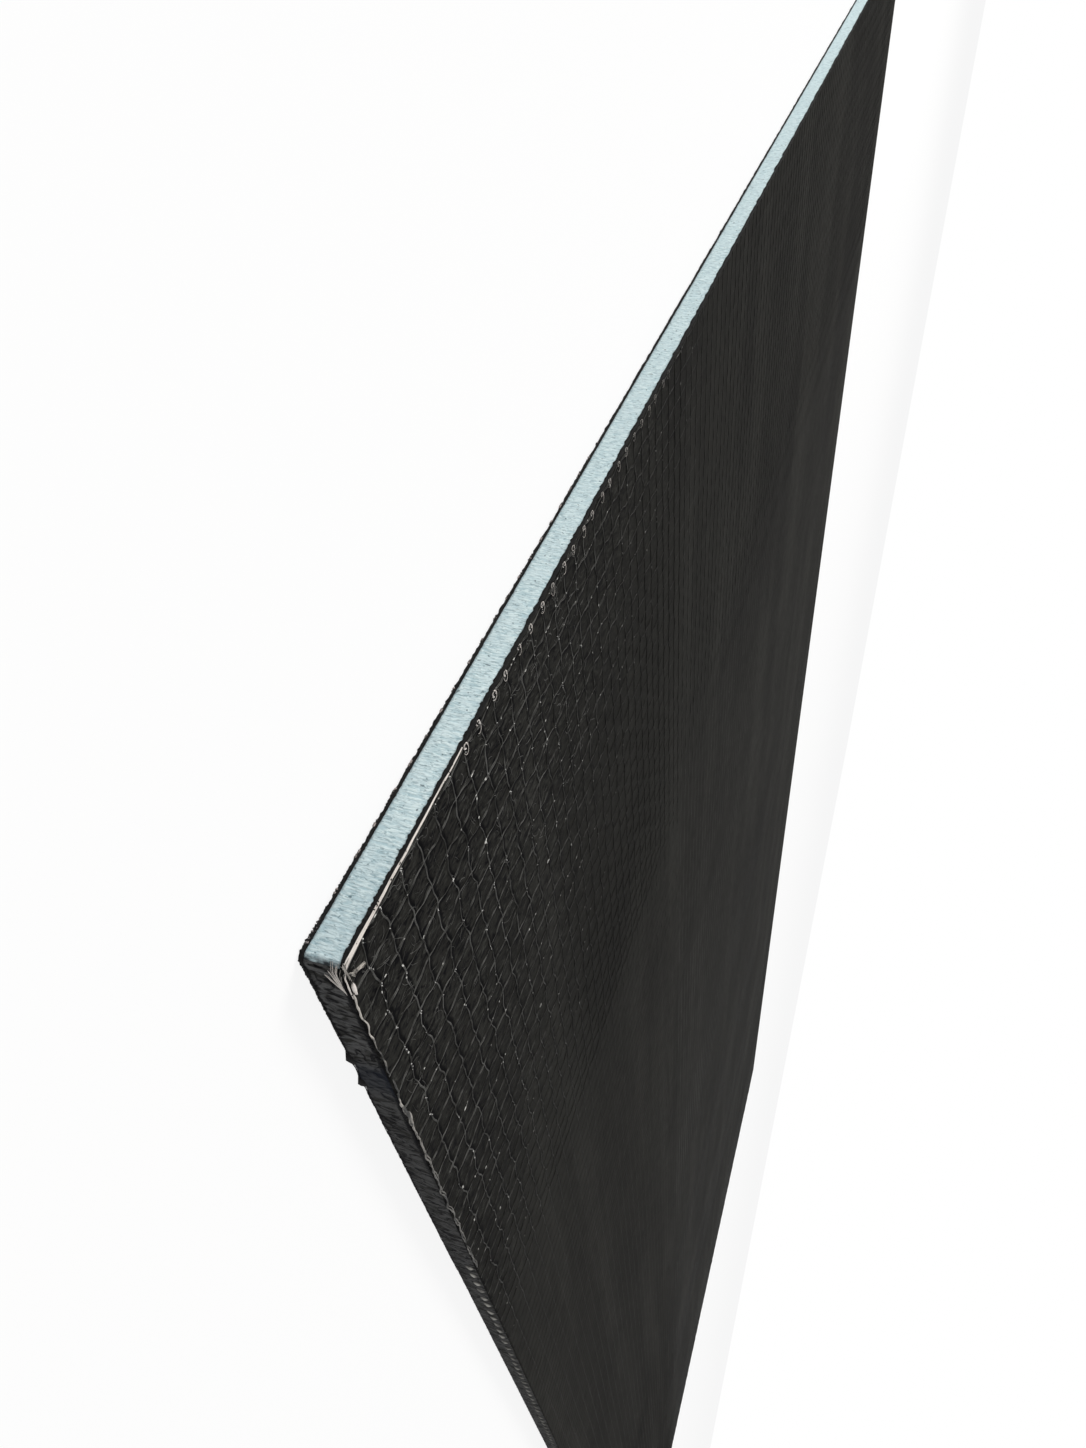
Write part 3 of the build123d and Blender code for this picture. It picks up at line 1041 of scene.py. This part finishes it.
for start, stop, swell in ((5.6, 14.8, 0.11), (14.4, 26.5, 0.10), (27.5, 34.0, 0.13), (33.5, 47.5, 0.12)):
    arris_strand(start, stop, 0.0, swell, 0.0)
arris_strand(35.0, 42.5, 0.22, 0.075, 0.10)
for start, stop in ((47.0, 63.0), (62.0, 79.0), (78.0, 91.5), (92.5, 105.5)):
    arris_strand(start, stop, -0.05, 0.12, 0.10)
    arris_strand(start + 0.6, stop, 0.15, 0.09, 0.12)
fibres("arris_line", arris_paths, 6, worn_finish)


# Corner fray. The folded yarn bursts at the corner: fine white filaments fan out over the wrapped
# edge and gather again at the arris, beside a flattened white tuft and a smudge on the face.
def fray(start, end, bow, thick, count, scatter_by):
    """Filaments from start to end, both (x in, y in, z), bowed down and slightly apart."""
    paths = []
    for number in range(count):
        off = [chance.gauss(0, scatter_by) for axis in range(4)]
        path = []
        for i in range(11):
            way = i / 10
            x_in = start[0] + off[0] + (end[0] + off[1] - start[0] - off[0]) * way
            y_in = start[1] + (end[1] - start[1]) * way
            z = start[2] + off[2] + (end[2] + 0.3 * off[3] - start[2] - off[2]) * way
            z -= bow * math.sin(math.pi * way)
            to_arc = min(corner_radius, max(0.0, corner_radius - x_in))
            rounded = corner_radius - math.sqrt(corner_radius ** 2 - to_arc ** 2)
            y_in = max(y_in, half_width - outer_y + 0.02, rounded * 0.9)
            slim = thick * (0.6 + 0.4 * math.sin(math.pi * way))
            path.append(from_corner(max(0.35, x_in), y_in, min(z, 5.90), slim))
        paths.append(path)
    return paths


smudge_paths = fray((0.7, 0.8, 5.66), (3.4, 0.95, 5.68), 0.0, 0.036, 40, 0.24)
smudge_paths += fray((2.4, 1.1, 5.70), (3.6, 1.9, 5.70), -0.02, 0.034, 16, 0.26)
smudge_paths += fray((3.3, 1.9, 5.70), (4.8, 4.0, 5.68), -0.02, 0.030, 22, 0.24)
smudge_paths += fray((0.9, 0.25, 5.0), (5.5, 0.25, 5.0), 0.2, 0.026, 8, 0.35)
fibres("corner_smudge", smudge_paths, 4, worn_finish)

fray_paths = []
for x_in, level in ((0.5, 4.9), (0.6, 4.3), (1.4, 3.8), (2.4, 3.2), (2.9, 4.3)):
    fray_paths += fray((x_in, 0.25, level), (5.6, 0.25, 5.05), 0.08, 0.026, 4, 0.14)
fray_paths += fray((0.6, 0.9, 5.62), (2.6, 0.42, 5.62), 0.0, 0.040, 9, 0.16)
fray_paths += fray((2.6, 0.45, 5.60), (6.6, 0.35, 5.62), 0.0, 0.050, 6, 0.09)
tuft = []
for i in range(13):
    fat = 0.05 + 0.33 * math.sin(math.pi * i / 12) ** 0.6
    tuft.append(from_corner(4.3 + 2.2 * i / 12, 1.05 - 0.01 * i, 5.93 - fat, fat))
fray_paths.append(tuft)
fibres("corner_fray", fray_paths, 8, fibre_finish)


# Snags. Two shards of dried mortar stick out of the wrapped edge's back arris, about 25 and 31 mm
# from the sawn end, where the mould's edge tore the coat and left a notch behind each.
snag_points = []
snag_faces = []
shard_faces = ((0, 1, 2, 3), (1, 0, 4), (2, 1, 5), (1, 4, 5), (3, 2, 5, 6), (0, 3, 6), (4, 0, 6),
               (5, 4, 6))
for root_start, tip_x, root_stop, top in ((22.2, 24.6, 26.6, 1.5), (29.3, 31.4, 32.8, 1.7)):
    low = len(snag_points)
    root_y = -outer_y + 0.28
    tip_y = -half_width + 0.02
    shard = ((root_start, root_y, 0.32), (root_stop, root_y, 0.32), (root_stop - 0.4, root_y, top),
             (root_start + 0.9, root_y, top - 0.3), (tip_x, tip_y, 0.03), (tip_x + 0.3, tip_y, 0.45),
             (tip_x - 0.8, tip_y + 0.10, 0.40))
    for x_in, y, z in shard:
        snag_points.append((x_in - half_length, y, z))
    for face in shard_faces:
        snag_faces.append(tuple(low + i for i in face))
new_piece("mortar_snags", snag_points, snag_faces, lip_finish, "mortar")


# Folded yarn ends. Farther along, the cross yarns were turned over the front arris and twisted
# together on the upper half of the wrapped edge, so they show as a cord of pale knots.
cord_finish, nodes, place, tone, blotch, grit = mortar_material("folded_yarn")
from_end = distance_in(nodes, place, "X")
bright = nodes.ramp(from_end, 112, 215, 1.0, 0.40)
patch = nodes.ramp(from_end, 196, 204) * nodes.ramp(from_end, 214, 226, 1.0, 0.0)
bright = bright.at_least(0.9 * patch)
fleecy = nodes.ramp(nodes.grain(place, (300, 600, 600), 3.0, 0.6), 0.34, 0.58)
# The knots' pale glass is painted on their outer crown only. This is partly the pale yarn and partly a
# painted highlight along the crown.
pale_crown_and_highlight = nodes.ramp(distance_in(nodes, place, "Y"), 0.42, 0.12)
tone = nodes.mix((0.40 + 0.60 * fleecy) * pale_crown_and_highlight * bright, tone, (0.38, 0.37, 0.34, 1))
finish_surface(nodes, tone, 0.65, 0.05)

folded_yarns = range(21, 84)
thick_knots = (39, 40, 45)
cord_paths = []
for number in folded_yarns:
    x_in = cross_yarn_inset + mesh_pitch * number - 2.2 + chance.uniform(-0.4, 0.4)
    fat = chance.uniform(1.35, 1.65) * (1.15 if number in thick_knots else 1.0)
    level = 3.05 + chance.uniform(-0.15, 0.15)
    path = []
    for i in range(13):
        way = i / 12
        thick = max(0.05, fat * math.sin(math.pi * way) ** 0.7)
        rise = min(5.64 - thick, level + 2.0 * way)
        path.append(from_corner(x_in + 1.2 + 3.4 * way, fat + 0.02, rise, thick))
    cord_paths.append(path)
fibres("folded_yarn_ends", cord_paths, 10, cord_finish)
